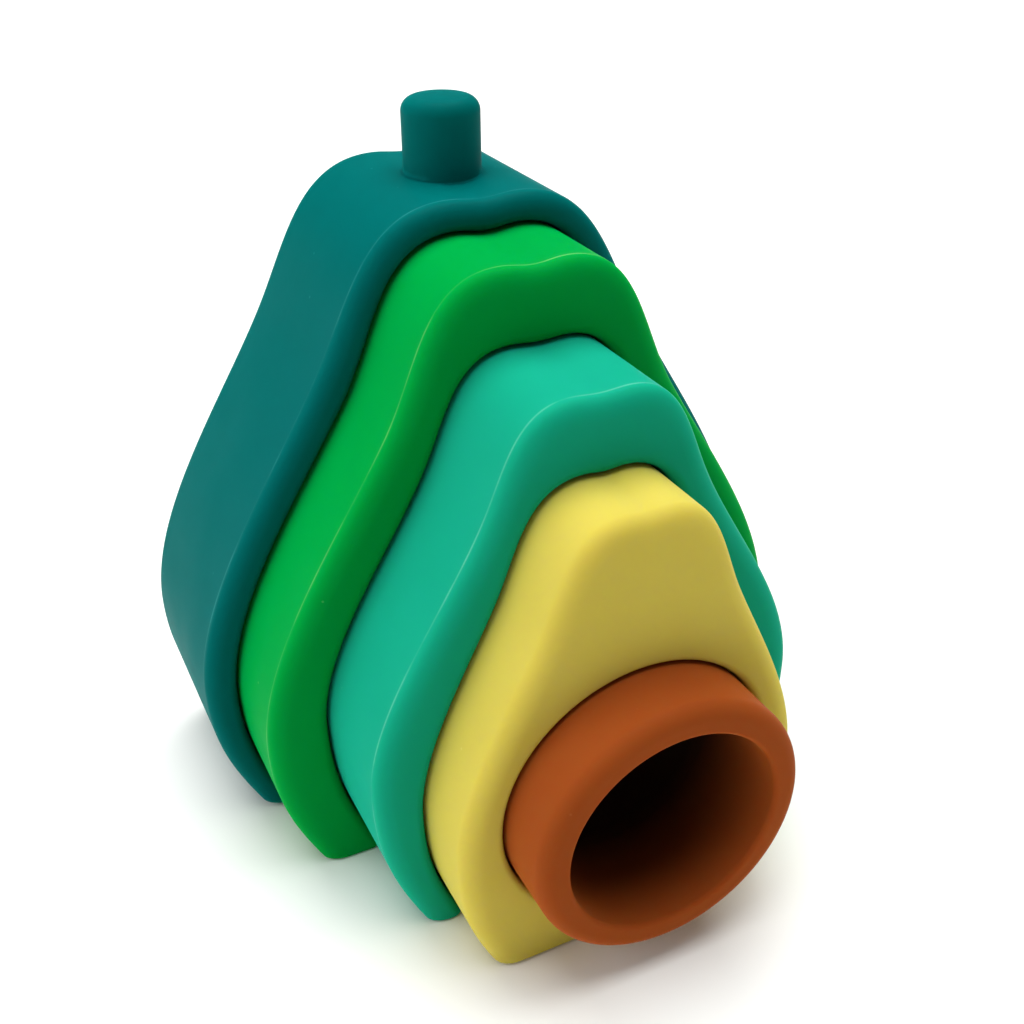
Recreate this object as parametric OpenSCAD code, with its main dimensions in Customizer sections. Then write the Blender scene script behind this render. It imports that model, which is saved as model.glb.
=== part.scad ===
// Avocado stacking toy: four pear-shaped soft pieces and a round pit ring, each of which
// nests in the one outside it and slides out of its front face.
// X runs across the toy, Z up, and the front faces -Y. The origin is on the surface that
// the toy stands on, below the middle of the whole row of pieces.

/* [Pieces] */
// Thickness of every piece, from its front face to its back face
piece_depth = 38; // [30:0.5:42]
// Free space all round between a piece and the one that it nests in
nest_gap = 0.4; // [0.3:0.1:0.6]

/* [Places along the row] */
// How far the green arch stands forward of the outer arch
green_step = 18.7; // [0:0.1:26]
// How far the mint arch stands forward of the green arch
mint_step = 22; // [0:0.1:26]
// How far the yellow ring stands forward of the mint arch
yellow_step = 13.9; // [0:0.1:26]
// How far the pit ring stands forward of the yellow ring
pit_step = 11.5; // [0:0.1:26]

/* [Outer arch] */
// Height of the dip at the top centre
outer_dip_h = 113.7; // [113.2:0.1:114.2]
// Half width at the two crowns beside the dip
outer_crown_x = 6.5; // [5:0.1:8]
// Height of the crowns
outer_crown_h = 114.2; // [113.7:0.1:116]
// Half width at the waist
outer_waist_x = 31.5; // [31:0.1:33.5]
// Height of the waist
outer_waist_h = 86.9; // [86:0.1:89]
// Slope of the outline at the waist, in degrees below level
outer_waist_slope = 61; // [58:1:66]
// Half width at the widest place
outer_belly_x = 57.4; // [56.5:0.1:60]
// Height of the widest place
outer_belly_h = 29.6; // [27:0.1:32]
// Half width on the ground
outer_foot_x = 49; // [48:0.1:51]

/* [Green arch] */
// Height of the dip at the top centre
green_dip_h = 108.2; // [107:0.1:108.8]
// Half width at the two crowns beside the dip
green_crown_x = 6; // [4.5:0.1:7]
// Height of the crowns
green_crown_h = 108.8; // [108.2:0.1:109.5]
// Half width at the waist
green_waist_x = 26.7; // [25.5:0.1:27.5]
// Height of the waist
green_waist_h = 82.9; // [81.5:0.1:84]
// Slope of the outline at the waist, in degrees below level
green_waist_slope = 60; // [57:1:63]
// Half width at the widest place
green_belly_x = 51.4; // [49.5:0.1:52.5]
// Height of the widest place
green_belly_h = 28.9; // [27:0.1:31]
// Half width on the ground
green_foot_x = 43.5; // [42:0.1:44.5]

/* [Mint arch] */
// Height of the dip at the top centre
mint_dip_h = 95.3; // [94.5:0.1:96]
// Half width at the two crowns beside the dip
mint_crown_x = 5; // [3.5:0.1:6]
// Height of the crowns
mint_crown_h = 95.6; // [95:0.1:97]
// Half width at the waist
mint_waist_x = 19.8; // [19:0.1:21.5]
// Height of the waist
mint_waist_h = 77.8; // [76.5:0.1:79.5]
// Slope of the outline at the waist, in degrees below level
mint_waist_slope = 65; // [62:1:68]
// Half width at the widest place
mint_belly_x = 40.4; // [39.5:0.1:42]
// Height of the widest place
mint_belly_h = 32.1; // [30.5:0.1:34]
// Half width on the ground
mint_foot_x = 32.1; // [31.5:0.1:34]

/* [Yellow ring] */
// Height of the dip at the top centre
yellow_dip_h = 82.3; // [81.5:0.1:82.7]
// Half width at the two crowns beside the dip
yellow_crown_x = 3.5; // [2.5:0.1:4.5]
// Height of the crowns
yellow_crown_h = 82.6; // [82.3:0.1:83.5]
// Half width at the waist
yellow_waist_x = 18.3; // [17.5:0.1:19]
// Height of the waist
yellow_waist_h = 63.4; // [62:0.1:64.5]
// Slope of the outline at the waist, in degrees below level
yellow_waist_slope = 65; // [62:1:68]
// Half width at the widest place
yellow_belly_x = 31.8; // [31.2:0.1:32.5]
// Height of the widest place
yellow_belly_h = 26.5; // [25:0.1:28]
// Half width on the ground
yellow_foot_x = 25.3; // [24.5:0.1:26]

/* [Pit ring] */
// Height of the ring's axis above the ground
pit_axis_h = 30.7; // [29:0.1:32]
// Outer radius
pit_r = 24.1; // [22:0.1:25]
// Radius of the hole through it
pit_hole_r = 18.8; // [16:0.1:19]
// Rounding of its outer edges
pit_edge_r = 2.8; // [1:0.1:2.9]

/* [Stem] */
// Radius of the stem
stem_r = 6.9; // [6:0.1:8]
// Height of its top above the ground
stem_top_h = 127.4; // [122:0.1:132]
// Rounding of its top edge
stem_edge_r = 2.5; // [1:0.1:3]

/* [Hidden] */

// Slope of every outline where it meets the ground, in degrees below level
foot_slope = 117;
// Length of the handles that shape the curve of each span, as a share of the span
handle = [0.38, 0.40, 0.31, 0.39];
// Straight steps that each span is drawn with
span_steps = [3, 10, 10, 7];
// How far the stem is sunk into the arch, so that the two are one moulding
stem_root = 3;
// Facets round a circle
round_fn = 96;

// Each outline: dip, crown, waist, slope at the waist, belly, foot
outer = [outer_dip_h, [outer_crown_x, outer_crown_h],
         [outer_waist_x, outer_waist_h], outer_waist_slope,
         [outer_belly_x, outer_belly_h], outer_foot_x];
green = [green_dip_h, [green_crown_x, green_crown_h],
         [green_waist_x, green_waist_h], green_waist_slope,
         [green_belly_x, green_belly_h], green_foot_x];
mint = [mint_dip_h, [mint_crown_x, mint_crown_h],
        [mint_waist_x, mint_waist_h], mint_waist_slope,
        [mint_belly_x, mint_belly_h], mint_foot_x];
yellow = [yellow_dip_h, [yellow_crown_x, yellow_crown_h],
          [yellow_waist_x, yellow_waist_h], yellow_waist_slope,
          [yellow_belly_x, yellow_belly_h], yellow_foot_x];

// The row of pieces is centred on the origin along Y
row_depth = piece_depth + green_step + mint_step + yellow_step + pit_step;
outer_front = row_depth / 2 - piece_depth;
green_front = outer_front - green_step;
mint_front = green_front - mint_step;
yellow_front = mint_front - yellow_step;
pit_front = yellow_front - pit_step;

// An arm of the given length, pointing at the given angle
function arm(length, angle) = length * [cos(angle), sin(angle)];

// Point t of the cubic curve from p to q that leaves p at angle a and reaches q at angle b
function curve_point(p, q, a, b, reach, t) =
    let (c = p + arm(reach, a), d = q - arm(reach, b), s = 1 - t)
    s*s*s * p + 3*s*s*t * c + 3*s*t*t * d + t*t*t * q;

// Right half of an outline, from the top centre down to the foot
function half(o) =
    let (knot = [[0, o[0]], o[1], o[2], o[4], [o[5], 0]],
         slope = [0, 0, -o[3], -90, -foot_slope])
    concat([for (i = [0:3], n = [0:span_steps[i] - 1])
                curve_point(knot[i], knot[i + 1], slope[i], slope[i + 1],
                            handle[i] * norm(knot[i + 1] - knot[i]), n / span_steps[i])],
           [knot[4]]);

// Direction out of a half outline at its point i
function outward(pts, i) =
    i == 0 ? [0, 1] : let (along = pts[i + 1] - pts[i - 1]) [-along[1], along[0]] / norm(along);

// A half outline moved outwards by a distance, with its foot on the ground
function moved(pts, distance) =
    let (last = len(pts) - 1)
    concat([for (i = [0:last - 1]) pts[i] + distance * outward(pts, i)],
           [[pts[last][0] + distance / sin(foot_slope), 0]]);

// Both halves of an outline, from the left foot over the top to the right foot
function whole(pts) = concat([for (i = [len(pts) - 1:-1:1]) [-pts[i][0], pts[i][1]]], pts);

function reversed(pts) = [for (i = [len(pts) - 1:-1:0]) pts[i]];

// Slab of the piece's depth with a given outline, standing up behind its front face
module slab(outline, front) {
    translate([0, front + piece_depth, 0]) rotate([90, 0, 0])
        linear_extrude(piece_depth) polygon(outline);
}

// Arch open at the ground, with an opening that the next piece fills
module arch(o, opening, front) {
    slab(concat(whole(half(o)), reversed(whole(moved(half(opening), nest_gap)))), front);
}

// Upright peg with a rounded top edge
module stem() {
    rotate_extrude($fn = round_fn) {
        square([stem_r, stem_top_h - outer_dip_h - stem_edge_r + stem_root]);
        square([stem_r - stem_edge_r, stem_top_h - outer_dip_h + stem_root]);
        intersection() {
            translate([stem_r - stem_edge_r, stem_top_h - outer_dip_h - stem_edge_r + stem_root])
                circle(stem_edge_r, $fn = round_fn);
            square([stem_r, stem_top_h]);
        }
    }
}

// Outer teal arch with the stem moulded onto its top
module outer_arch() {
    color("#006f6c") {
        union() {
            arch(outer, green, outer_front);
            translate([0, outer_front + piece_depth / 2, outer_dip_h - stem_root]) stem();
        }
    }
}

module green_arch() {
    color("#04a94b") arch(green, mint, green_front);
}

module mint_arch() {
    color("#2fb88f") arch(mint, yellow, mint_front);
}

// Pear-shaped slab with a round hole for the pit ring
module yellow_ring() {
    color("#dfd468")
    difference() {
        slab(whole(half(yellow)), yellow_front);
        translate([0, yellow_front - 1, pit_axis_h]) rotate([-90, 0, 0])
            cylinder(h = piece_depth + 2, r = pit_r + nest_gap, $fn = round_fn);
    }
}

// Plain ring with rounded outer edges
module pit_ring() {
    wall = pit_r - pit_hole_r;
    color("#a2552c")
    translate([0, pit_front, pit_axis_h]) rotate([-90, 0, 0])
    rotate_extrude($fn = round_fn) {
        translate([pit_hole_r, 0]) square([wall - pit_edge_r, piece_depth]);
        translate([pit_hole_r, pit_edge_r]) square([wall, piece_depth - 2 * pit_edge_r]);
        intersection() {
            translate([pit_hole_r, 0]) square([wall, piece_depth]);
            for (h = [pit_edge_r, piece_depth - pit_edge_r])
                translate([pit_r - pit_edge_r, h]) circle(pit_edge_r, $fn = round_fn);
        }
    }
}

outer_arch();
green_arch();
mint_arch();
yellow_ring();
pit_ring();
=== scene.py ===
"""Avocado stacking toy: three soft moulded arches, a pear-shaped slab with a round hole and a
round pit ring, which nest in each other and slide out to the front.

Each arch, the slab and the ring is one closed surface: a section through the wall, with its own
rounding at each edge, carried along the piece's outline. The stem on the outer arch is a turned
profile. Lengths are in metres, and mm() takes millimetres. X runs across the toy, the front faces
-Y and Z is up, as in the frame.
"""

import bpy
import numpy as np
from mathutils import Matrix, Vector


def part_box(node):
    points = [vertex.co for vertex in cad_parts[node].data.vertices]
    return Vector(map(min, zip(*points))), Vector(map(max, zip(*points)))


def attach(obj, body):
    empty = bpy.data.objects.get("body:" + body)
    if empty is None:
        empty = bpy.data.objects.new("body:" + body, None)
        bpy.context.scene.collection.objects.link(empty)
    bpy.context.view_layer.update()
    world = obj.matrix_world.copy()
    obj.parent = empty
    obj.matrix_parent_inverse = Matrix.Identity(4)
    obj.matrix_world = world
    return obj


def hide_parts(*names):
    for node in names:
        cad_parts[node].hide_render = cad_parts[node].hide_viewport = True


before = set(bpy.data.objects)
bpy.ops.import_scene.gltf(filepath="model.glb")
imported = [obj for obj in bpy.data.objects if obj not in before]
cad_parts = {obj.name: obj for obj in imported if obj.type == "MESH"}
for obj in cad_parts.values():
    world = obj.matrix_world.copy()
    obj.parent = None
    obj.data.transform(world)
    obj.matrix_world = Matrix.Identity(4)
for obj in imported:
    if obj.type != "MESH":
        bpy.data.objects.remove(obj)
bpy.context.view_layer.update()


def mm(value):
    """Millimetres to metres, for a number or a whole array."""
    return np.asarray(value, float) * 0.001


# ------------------------------------------------------------------ sizes

# Half an outline, in mm: dip at the top centre, crown, waist with its slope, belly, foot
OUTLINES = {
    "outer": (113.7, (6.5, 114.2), (31.5, 86.9), 61, (57.4, 29.6), 49.0),
    "green": (108.2, (6.0, 108.8), (26.7, 82.9), 60, (51.4, 28.9), 43.5),
    "mint": (95.3, (5.0, 95.6), (19.8, 77.8), 65, (40.4, 32.1), 32.1),
    "yellow": (82.3, (3.5, 82.6), (18.3, 63.4), 65, (31.8, 26.5), 25.3),
}
# Length of the handles that shape the curve of each span, as a share of the span
HANDLES = (0.38, 0.40, 0.31, 0.39)
# Slope of every outline where it meets the ground, in degrees below level
FOOT_SLOPE = 117.0
# Points along each span of an outline
SPAN_STEPS = 70
# How far an outline runs on below the ground, so that it can be cut off level
RUN_ON = mm(8)

# Free space between a piece and the one that it nests in
NEST_GAP = mm(0.4)
# Rounding of every back edge
BACK_R = mm(1.5)
# Rounding of the front edges of the green and mint arches: (across the face, along the depth)
EDGE = mm((3.4, 2.4))
OPENING_EDGE = mm((1.8, 1.6))

# Parting seam round an arch: height, width, and distance behind the front edge's rounding
SEAM_H = mm(0.012)
SEAM_W = mm(0.16)
SEAM_BEHIND = mm(0.3)
# Depths behind the front between which the painted shade in the pit's bore grows darker
BORE_SHADE_FROM, BORE_SHADE_TO = mm(1.5), mm(21)

# Columns of a section: round an edge, along the outer side, past the seam, along the inner side
# and across a face
EDGE_STEPS, OUTER_STEPS, SEAM_STEPS, INNER_STEPS, FACE_STEPS = 12, 18, 7, 14, 11


# ------------------------------------------------------------------ outlines

def unit(v):
    """Rows of v, each divided by its length."""
    return v / np.linalg.norm(v, axis=-1, keepdims=True)


def heading(degrees):
    """Unit vector at an angle above level."""
    a = np.radians(degrees)
    return np.array([np.cos(a), np.sin(a)])


def half_outline(name):
    """Right half of an outline from the top centre to the foot, as rows of (x, z).

    Each span between two knots p and q is the cubic curve
    (1-t)^3 p + 3 (1-t)^2 t (p + handle) + 3 (1-t) t^2 (q - handle) + t^3 q,
    whose handles point along the slopes at the knots.
    """
    dip, crown, waist, waist_slope, belly, foot = OUTLINES[name]
    knots = mm([(0, dip), crown, waist, belly, (foot, 0)])
    slopes = (0, 0, -waist_slope, -90, -FOOT_SLOPE)
    t = np.linspace(0, 1, SPAN_STEPS, endpoint=False)[:, None]
    spans = []
    for i, share in enumerate(HANDLES):
        p, q = knots[i], knots[i + 1]
        reach = share * np.linalg.norm(q - p)
        c = p + reach * heading(slopes[i])
        d = q - reach * heading(slopes[i + 1])
        spans.append((1 - t)**3 * p + 3 * (1 - t)**2 * t * c + 3 * (1 - t) * t**2 * d + t**3 * q)
    return np.vstack(spans + [knots[4:]])


def resampled(path, count):
    """A path's points moved to equal distances along it."""
    run = np.concatenate([[0], np.cumsum(np.linalg.norm(np.diff(path, axis=0), axis=1))])
    at = np.linspace(0, run[-1], count)
    return np.stack([np.interp(at, run, path[:, 0]), np.interp(at, run, path[:, 1])], axis=1)


def whole_outline(name, grow, bottom, count=400):
    """An outline from the left foot over the top to the right foot, moved outwards by grow and
    cut off level at the height bottom."""
    half = half_outline(name)
    along = unit(np.gradient(half, axis=0))
    half = half + grow * np.stack([-along[:, 1], along[:, 0]], axis=1)
    half[0, 0] = 0
    half = np.vstack([half, half[-1] + RUN_ON * heading(-FOOT_SLOPE)])
    cut = len(half) - np.argmax(half[::-1, 1] > bottom)
    share = (half[cut - 1, 1] - bottom) / (half[cut - 1, 1] - half[cut, 1])
    half = np.vstack([half[:cut], half[cut - 1] + share * (half[cut] - half[cut - 1])])
    return resampled(np.vstack([half[:0:-1] * (-1, 1), half]), count)


def flat_bottomed(name, pull, corner_r, count=300, fine=5):
    """Closed outline pulled in, with its flat underside raised by a quarter of that and its two
    lower corners rounded, from the right corner round the underside and over the top.

    The corners are rounded by a running mean over corner_r each way, on a path with fine times
    as many points, which fades out at twice corner_r from each corner.
    """
    path = whole_outline(name, -pull, bottom=pull * 0.25, count=700)
    left, right = path[0], path[-1]
    underside = np.linspace(right, left, 200)[:-1]
    loop = resampled(np.vstack([underside, path]), count * fine + 1)[:-1]
    half = int(corner_r / np.linalg.norm(loop[1] - loop[0])) + 1
    padded = np.vstack([loop[-half:], loop, loop[:half]])
    weights = np.hanning(2 * half + 3)[1:-1]
    weights = weights / weights.sum()
    smooth = np.stack([np.convolve(column, weights, "valid") for column in padded.T], axis=1)
    near = np.minimum(np.linalg.norm(loop - right, axis=1), np.linalg.norm(loop - left, axis=1))
    mix = np.clip(2 - near / (corner_r * 2), 0, 1)[:, None]
    return ((1 - mix) * loop + mix * smooth)[::fine][::-1]


# ------------------------------------------------------------------ meshes

def make_mesh(name, points, quads, caps=(), marks=()):
    """Object from an array of points, an array of quads and a few other faces, smooth shaded.
    marks holds pairs of an attribute's name and its value at each point."""
    mesh = bpy.data.meshes.new(name)
    faces = [tuple(f) for f in quads.tolist()] + [tuple(c) for c in caps]
    mesh.from_pydata(points.reshape(-1, 3), [], faces)
    mesh.polygons.foreach_set("use_smooth", np.ones(len(mesh.polygons), bool))
    for mark, values in marks:
        layer = mesh.attributes.new(mark, "FLOAT", "POINT")
        layer.data.foreach_set("value", values.ravel().astype(np.float32))
    mesh.update()
    obj = bpy.data.objects.new(name, mesh)
    bpy.context.scene.collection.objects.link(obj)
    return obj


def grid_quads(rows, columns, wrap_rows=False):
    """Quads of a grid of points that closes across its columns, and along its rows if asked."""
    r = np.arange(rows if wrap_rows else rows - 1)[:, None]
    c = np.arange(columns)[None, :]
    r2, c2 = (r + 1) % rows, (c + 1) % columns
    corners = [r * columns + c, r * columns + c2, r2 * columns + c2, r2 * columns + c]
    return np.stack(corners, axis=-1).reshape(-1, 4)


def piece_box(cad_node):
    """Low and high corners of a CAD piece, as arrays."""
    return tuple(np.array(corner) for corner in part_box(cad_node))


def section(depth, edge, opening, seam_at=None):
    """Closed section through a wall, as rows of: share of the way from the outer side to the
    inner one, pull-in from the outer side, pull-in from the inner side, depth behind the front,
    seam.

    edge and opening are the roundings of the front edges outside and inside, each as (across the
    face, along the depth). At angle a an edge is pulled in by across (1 - sin a) at the depth
    along (1 - cos a). The back edges have BACK_R both ways. On the outer side the seam is
    exp(-(d / SEAM_W)^2) at the distance d along the depth from seam_at, and elsewhere it is 0.
    """
    a = np.radians(np.linspace(0, 90, EDGE_STEPS))
    out_of, run_in = 1 - np.sin(a), 1 - np.cos(a)
    outside = np.linspace(edge[1], depth - BACK_R, OUTER_STEPS)
    if seam_at is not None:
        past_seam = np.linspace(edge[1], seam_at + SEAM_BEHIND, SEAM_STEPS)
        outside = np.concatenate([past_seam, outside[1:]])
    inside = np.linspace(opening[1], depth - BACK_R, INNER_STEPS)[::-1]
    across = np.linspace(0, 1, FACE_STEPS)
    parts = [
        (0.0, edge[0] * out_of, 0.0, edge[1] * run_in),
        (0.0, 0.0, 0.0, outside),
        (0.0, BACK_R * out_of[::-1], 0.0, depth - BACK_R * run_in[::-1]),
        (across, BACK_R, BACK_R, depth),
        (1.0, 0.0, BACK_R * out_of, depth - BACK_R * run_in),
        (1.0, 0.0, 0.0, inside),
        (1.0, 0.0, opening[0] * out_of[::-1], opening[1] * run_in[::-1]),
        (across[::-1], edge[0], opening[0], 0.0),
    ]
    table = np.vstack([np.stack(np.broadcast_arrays(*p), axis=1)[:-1] for p in parts])
    seam = np.zeros(len(table))
    if seam_at is not None:
        seam = np.where(table[:, 0] == 0, np.exp(-((table[:, 3] - seam_at) / SEAM_W)**2), 0)
    return np.column_stack([table, seam])


def arch(name, outline, opening, cad_node, edge, opening_edge, foot_r):
    """Arch open at the ground, in a wall between its outline and the opening's.

    Each column of its section follows its own offset of the outline or the opening, from the
    left foot over the top to the right foot, where it is cut level. Below that each foot has
    rings that are pulled in by foot_r (1 - cos s) as they drop by foot_r sin s. The outer side
    lies SEAM_H inside the outline, and only the seam rises to it.
    """
    low, high = piece_box(cad_node)
    front, depth = low[1], high[1] - low[1]
    table = section(depth, edge, opening_edge, seam_at=edge[1] + SEAM_BEHIND)
    share = table[:, 0, None, None]
    skin = SEAM_H * (1 - table[:, 4])

    def band(pull, bottom):
        """All columns pulled in by pull and cut at the height bottom, as an array of points
        along the outline by columns by (x, y, z)."""
        out = [whole_outline(outline, -pull - p, bottom) for p in table[:, 1] + skin]
        inn = [whole_outline(opening, NEST_GAP + pull + p, bottom) for p in table[:, 2]]
        flat = (1 - share) * np.array(out) + share * np.array(inn)
        deep = front + depth / 2 + (table[:, 3] - depth / 2) * (1 - 2 * pull / depth)
        deep = np.broadcast_to(deep[:, None], flat.shape[:2])
        return np.stack([flat[..., 0], deep, flat[..., 1]], axis=-1).swapaxes(0, 1)

    body = band(0.0, foot_r)
    turns = np.radians(np.linspace(15, 90, 6))
    ends = [band(foot_r * (1 - np.cos(s)), foot_r * (1 - np.sin(s))) for s in turns]
    left = np.array([e[0] for e in ends[::-1]])
    right = np.array([e[-1] for e in ends])
    points = np.concatenate([left, body, right])
    rows, columns = points.shape[:2]
    caps = (np.arange(columns)[::-1], (rows - 1) * columns + np.arange(columns))
    seam = np.broadcast_to(table[:, 4], (rows, columns))
    return make_mesh(name, points, grid_quads(rows, columns), caps=caps, marks=[("seam", seam)])


def holed_slab(name, outline, cad_node, centre, hole_r, edge, opening_edge, corner_r):
    """Pear-shaped slab with a round hole. Each column of the section follows its own offset of
    the outline, or a circle, and points of the two match by their direction from the hole's
    centre."""
    low, high = piece_box(cad_node)
    front, depth = low[1], high[1] - low[1]
    table = section(depth, edge, opening_edge)
    share = table[:, 0, None, None]
    spoke = unit(flat_bottomed(outline, 0.0, corner_r) - centre)
    out = np.array([flat_bottomed(outline, p, corner_r) for p in table[:, 1]])
    inn = centre + (hole_r + table[:, 2])[:, None, None] * spoke
    flat = (1 - share) * out + share * inn
    deep = np.broadcast_to(front + table[:, 3, None], flat.shape[:2])
    points = np.stack([flat[..., 0], deep, flat[..., 1]], axis=-1).swapaxes(0, 1)
    rows, columns = points.shape[:2]
    return make_mesh(name, points, grid_quads(rows, columns, wrap_rows=True))


def round_ring(name, cad_node, hole_r, edge, opening_edge, count=300):
    """Ring: the section carried round a circle about the depth. Its bore is marked from 0 near
    the front to 1 well inside, for the painted shade there."""
    low, high = piece_box(cad_node)
    front, depth = low[1], high[1] - low[1]
    radius = (high[0] - low[0]) / 2
    table = section(depth, edge, opening_edge)
    turn = -np.linspace(0, 2 * np.pi, count, endpoint=False)[:, None]
    reach = (1 - table[:, 0]) * (radius - table[:, 1]) + table[:, 0] * (hole_r + table[:, 2])
    x = reach * np.cos(turn)
    z = (low[2] + high[2]) / 2 + reach * np.sin(turn)
    points = np.stack([x, np.broadcast_to(front + table[:, 3], x.shape), z], axis=-1)
    rows, columns = points.shape[:2]
    deep_in = np.clip((table[:, 3] - BORE_SHADE_FROM) / (BORE_SHADE_TO - BORE_SHADE_FROM), 0, 1)
    bore = np.broadcast_to(deep_in * (table[:, 0] == 1), (rows, columns))
    quads = grid_quads(rows, columns, wrap_rows=True)
    return make_mesh(name, points, quads, marks=[("bore", bore)])


def stem(name, cad_node, radius, edge_r, fillet_r, count=128):
    """Peg with a rounded top edge and a small fillet where it grows out of the arch.

    The profile (radius, height) is turned about the stem's axis. Its top falls away from the
    middle by crown (r / flat_r)^2, and the fillet's lowest rings take the height of the arch's
    top below them. The root ends inside the arch.
    """
    low, high = piece_box(cad_node)
    middle, top = (low[1] + high[1]) / 2, high[2]
    half = half_outline("outer")
    arch_h = half[0, 1] - SEAM_H
    a = np.radians(np.linspace(0, 90, 14))
    out_of, run_in = 1 - np.sin(a), 1 - np.cos(a)
    flat_r, crown, root_h = radius - edge_r, mm(0.3), mm(1.5)
    inner = np.linspace(0, flat_r, 8)[1:-1]
    cap = np.stack([inner, top - crown * (inner / flat_r)**2], axis=1)
    edge = np.stack([radius - edge_r * out_of, top - crown - edge_r * run_in], axis=1)
    side_h = np.linspace(top - crown - edge_r, arch_h + fillet_r, 10)[1:-1]
    side = np.stack([np.full(8, radius), side_h], axis=1)
    flare = np.stack([radius + fillet_r * run_in, arch_h + fillet_r * out_of], axis=1)
    root = np.array([[radius + fillet_r, arch_h - mm(0.6)], [radius * 0.5, arch_h - root_h]])
    profile = np.vstack([cap, edge, side, flare, root])
    turn = np.linspace(0, 2 * np.pi, count, endpoint=False)
    x = profile[:, :1] * np.cos(turn)
    y = middle + profile[:, :1] * np.sin(turn)
    top_half = half[:2 * SPAN_STEPS]
    ground = np.interp(np.abs(x), top_half[:, 0], top_half[:, 1]) - half[0, 1]
    sink = np.clip((arch_h + fillet_r - profile[:, 1:]) / fillet_r, 0, 1)
    points = np.stack([x, y, profile[:, 1:] + ground * sink], axis=-1)
    tips = np.array([[0, middle, top], [0, middle, arch_h - root_h]])
    rows, n = len(profile), len(profile) * count
    c = np.arange(count)
    c2 = (c + 1) % count
    top_fan = np.stack([np.full(count, n), c, c2], axis=1)
    low_fan = np.stack([np.full(count, n + 1), c2 + n - count, c + n - count], axis=1)
    points = np.vstack([points.reshape(-1, 3), tips])
    quads = grid_quads(rows, count)[:, ::-1]
    return make_mesh(name, points, quads, caps=top_fan.tolist() + low_fan.tolist())


# ------------------------------------------------------------------ materials

# Painted shade deep in the pit's bore: the near-black brown that the bore's colour turns to
BORE_SHADE_COLOUR = "#241009"


def linear(hex_colour):
    """sRGB hex colour as linear RGBA."""
    c = np.array([int(hex_colour[i:i + 2], 16) for i in (1, 3, 5)]) / 255
    lin = np.where(c <= 0.04045, c / 12.92, ((c + 0.055) / 1.055)**2.4)
    return (*lin.tolist(), 1.0)


def node(tree, kind, settings=(), links=()):
    """Adds a node with its settings (attributes or input values by name) and its input links."""
    made = tree.nodes.new(kind)
    for key, value in dict(settings).items():
        if key in made.inputs:
            made.inputs[key].default_value = value
        else:
            setattr(made, key, value)
    for key, source in dict(links).items():
        tree.links.new(source, made.inputs[key])
    return made


def silicone(name, body, deep, pale, glow, roughness=0.46):
    """Platinum-cured silicone rubber, moulded in a blasted steel mould: a satin skin, light that
    bleeds a little way in at the edges, faint clouding of the pigment, dust specks that cling to
    the skin, a paler line along the mould's parting seam as a painted highlight on its ridge,
    and painted shade deep in a bore."""
    mat = bpy.data.materials.new(name)
    mat.use_nodes = True
    tree = mat.node_tree
    tree.nodes.clear()
    where = {"Vector": node(tree, "ShaderNodeTexCoord").outputs["Object"]}

    def noise(scale, detail, **more):
        """Noise value in the piece's own coordinates. The scale is in waves per metre."""
        settings = {"Scale": scale, "Detail": detail, **more}
        return node(tree, "ShaderNodeTexNoise", settings, where).outputs["Fac"]

    def ramp(value, low, high, to_low, to_high):
        """A value from low to high, carried to the range from to_low to to_high."""
        settings = {"From Min": low, "From Max": high, "To Min": to_low, "To Max": to_high}
        return node(tree, "ShaderNodeMapRange", settings, {"Value": value}).outputs["Result"]

    def blend(amount, under, colour):
        """A colour laid over what is under it, by an amount."""
        settings = {"data_type": "RGBA", "B": linear(colour)}
        links = {"Factor": amount, "A": under}
        return node(tree, "ShaderNodeMix", settings, links).outputs["Result"]

    # clouding of the pigment, patches about 18 mm across
    cloud = noise(55.0, 3.0, Roughness=0.5)
    mottled = node(tree, "ShaderNodeMix",
                   {"data_type": "RGBA", "A": linear(body), "B": linear(deep)},
                   {"Factor": ramp(cloud, 0.35, 0.75, 0.0, 0.35)}).outputs["Result"]
    # parting seam, from the mesh's seam attribute: a pale tint painted on as the highlight that
    # its ridge catches, broken by noise into stretches of about 12 mm
    seam = node(tree, "ShaderNodeAttribute", {"attribute_name": "seam"}).outputs["Fac"]
    seam_breaks = ramp(noise(80.0, 3.0), 0.4, 0.65, 0.05, 0.4)
    seam_highlight = node(tree, "ShaderNodeMath", {"operation": "MULTIPLY"}, {0: seam, 1: seam_breaks})
    seam_highlighted = blend(seam_highlight.outputs[0], mottled, pale)
    # dust specks, one every 9 mm or so, about 0.3 mm across
    speck = node(tree, "ShaderNodeTexVoronoi", {"Scale": 110.0}, where).outputs["Distance"]
    dusty = blend(ramp(speck, 0.035, 0.0, 0.0, 0.35), seam_highlighted, pale)
    # painted shade deep in a bore, from the mesh's bore attribute: the colour darkens towards a
    # near-black brown
    bore = node(tree, "ShaderNodeAttribute", {"attribute_name": "bore"}).outputs["Fac"]
    skin = blend(bore, dusty, BORE_SHADE_COLOUR)
    # blasted-mould grain, about 0.35 mm, on a slow unevenness of about 14 mm
    grain, uneven = noise(2800.0, 2.0), noise(70.0, 1.0)
    coarse = node(tree, "ShaderNodeBump", {"Strength": 0.10, "Distance": 0.0006},
                  {"Height": uneven})
    fine = node(tree, "ShaderNodeBump", {"Strength": 0.06, "Distance": 0.00004},
                {"Height": grain, "Normal": coarse.outputs["Normal"]})
    # handled patches are a little smoother
    rub = ramp(cloud, 0.3, 0.7, roughness - 0.05, roughness + 0.06)
    shader = node(tree, "ShaderNodeBsdfPrincipled", {
        "IOR": 1.41, "Specular IOR Level": 0.01,
        "Subsurface Weight": 0.7, "Subsurface Radius": glow, "Subsurface Scale": 0.004,
    }, {"Base Color": skin, "Roughness": rub, "Normal": fine.outputs["Normal"]})
    node(tree, "ShaderNodeOutputMaterial", {}, {"Surface": shader.outputs["BSDF"]})
    return mat


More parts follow.
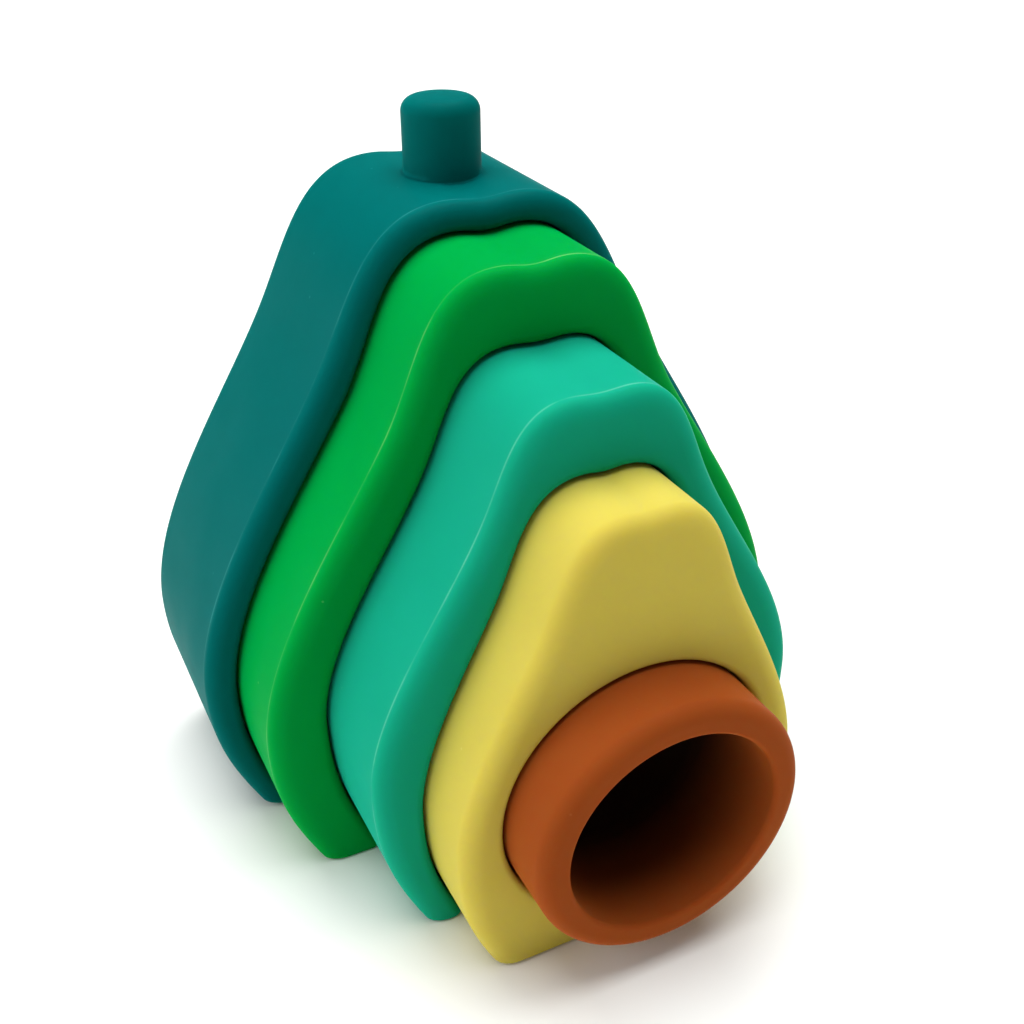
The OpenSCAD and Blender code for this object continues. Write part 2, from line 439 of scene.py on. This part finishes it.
TEAL = silicone("teal_silicone_satin_moulded", "#005c59", "#005552", "#3f9c98", (0.1, 1.0, 0.8))
GREEN = silicone("green_silicone_satin_moulded", "#00913a", "#008734", "#8fd07c",
                 (0.15, 1.0, 0.15))
MINT = silicone("mint_silicone_satin_moulded", "#129879", "#0e8f70", "#86d6b8", (0.2, 1.0, 0.5))
YELLOW = silicone("yellow_silicone_satin_moulded", "#c8b64f", "#beab46", "#e6dc8c",
                  (1.0, 0.7, 0.1))
BROWN = silicone("brown_silicone_satin_moulded", "#93461a", "#863e17", "#b06a42",
                 (0.35, 0.1, 0.03))

# ------------------------------------------------------------------ the toy


def finish_piece(obj, material, body, cad_node):
    """Gives a piece its material and its body, and hides the CAD part that it stands for."""
    obj.data.materials.append(material)
    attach(obj, body)
    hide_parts(cad_node)


pit_low, pit_high = piece_box("pit_ring")
pit_centre = ((pit_low + pit_high) / 2)[[0, 2]]
pit_r = (pit_high[0] - pit_low[0]) / 2

outer_shell = arch("outer_arch_shell", "outer", "green", "outer_arch",
                   edge=mm((2.9, 2.5)), opening_edge=mm((1.6, 1.9)), foot_r=mm(1.7))
outer_stem = stem("outer_arch_stem", "outer_arch", radius=mm(6.9), edge_r=mm(2.5),
                  fillet_r=mm(0.45))
green_shell = arch("green_arch_shell", "green", "mint", "green_arch", EDGE, OPENING_EDGE,
                   foot_r=mm(0.8))
mint_shell = arch("mint_arch_shell", "mint", "yellow", "mint_arch", EDGE, OPENING_EDGE,
                  foot_r=mm(0.8))
yellow_slab = holed_slab("yellow_ring_slab", "yellow", "yellow_ring", pit_centre,
                         pit_r + NEST_GAP, edge=mm((3.4, 2.9)), opening_edge=mm((1.2, 1.2)),
                         corner_r=mm(1.0))
pit = round_ring("pit_ring_body", "pit_ring", hole_r=mm(18.8), edge=mm((2.8, 2.8)),
                 opening_edge=mm((0.84, 0.84)))

finish_piece(outer_shell, TEAL, "outer", "outer_arch")
finish_piece(outer_stem, TEAL, "outer", "outer_arch")
finish_piece(green_shell, GREEN, "green", "green_arch")
finish_piece(mint_shell, MINT, "mint", "mint_arch")
finish_piece(yellow_slab, YELLOW, "yellow", "yellow_ring")
finish_piece(pit, BROWN, "pit", "pit_ring")

# ------------------------------------------------------------------ floor, light and camera

FLOOR_SIZE = 6.0
floor_corners = np.array([[-1, -1, 0], [1, -1, 0], [1, 1, 0], [-1, 1, 0]]) * FLOOR_SIZE / 2
floor = make_mesh("floor", floor_corners, np.array([[0, 1, 2, 3]]))
paper = bpy.data.materials.new("white_paper_sweep")
paper.use_nodes = True
paper_shader = paper.node_tree.nodes["Principled BSDF"]
paper_shader.inputs["Base Color"].default_value = (0.93, 0.91, 0.87, 1)
paper_shader.inputs["Roughness"].default_value = 0.9
paper_shader.inputs["Specular IOR Level"].default_value = 0.1
floor.data.materials.append(paper)

world = bpy.data.worlds.new("studio")
world.use_nodes = True
world.node_tree.nodes["Background"].inputs["Color"].default_value = (1, 1, 1, 1)
world.node_tree.nodes["Background"].inputs["Strength"].default_value = 0.2
bpy.context.scene.world = world

DAYLIGHT = (0.94, 0.98, 1.0)
# Middle of the toy, which the lights face
TOY_MIDDLE = (0, 0, 0.05)


def soft_light(name, place, size, watts):
    """Square soft box of cool daylight at a place, turned to face the toy."""
    data = bpy.data.lights.new(name, "AREA")
    data.shape = "SQUARE"
    data.size = size
    data.energy = watts
    data.color = DAYLIGHT
    lamp = bpy.data.objects.new(name, data)
    bpy.context.scene.collection.objects.link(lamp)
    back = unit(np.array(place) - np.array(TOY_MIDDLE))
    side = unit(np.cross([0, 1, 0], back))
    turn = Matrix(np.column_stack([side, np.cross(back, side), back]).tolist()).to_4x4()
    lamp.matrix_world = Matrix.Translation(place) @ turn


soft_light("overhead_soft_box", (0.2, 0.3, 2.2), size=2.2, watts=82.0)
soft_light("left_soft_box", (-1.9, 0.1, 1.0), size=2.0, watts=25.0)

# Camera at the front left, looking down: angles in degrees, lens and sensor width in mm
CAMERA_AT = (-0.0864, -0.16995, 0.175)
CAMERA_YAW, CAMERA_PITCH, CAMERA_ROLL = 26.13, 30.64, 0.37
CAMERA_LENS, CAMERA_SENSOR = 44.165, 36.0
yaw, pitch, roll = np.radians([CAMERA_YAW, CAMERA_PITCH, CAMERA_ROLL])
forward = np.array([np.sin(yaw) * np.cos(pitch), np.cos(yaw) * np.cos(pitch), -np.sin(pitch)])
level = np.array([np.cos(yaw), -np.sin(yaw), 0])
right = np.cos(roll) * level + np.sin(roll) * np.cross(forward, level)
up = np.cross(right, forward)
camera_data = bpy.data.cameras.new("camera")
camera_data.lens = CAMERA_LENS
camera_data.sensor_width = CAMERA_SENSOR
camera = bpy.data.objects.new("camera", camera_data)
camera_turn = Matrix(np.column_stack([right, up, -forward]).tolist()).to_4x4()
camera.matrix_world = Matrix.Translation(CAMERA_AT) @ camera_turn
bpy.context.scene.collection.objects.link(camera)
bpy.context.scene.camera = camera
bpy.context.scene.view_settings.view_transform = "Standard"
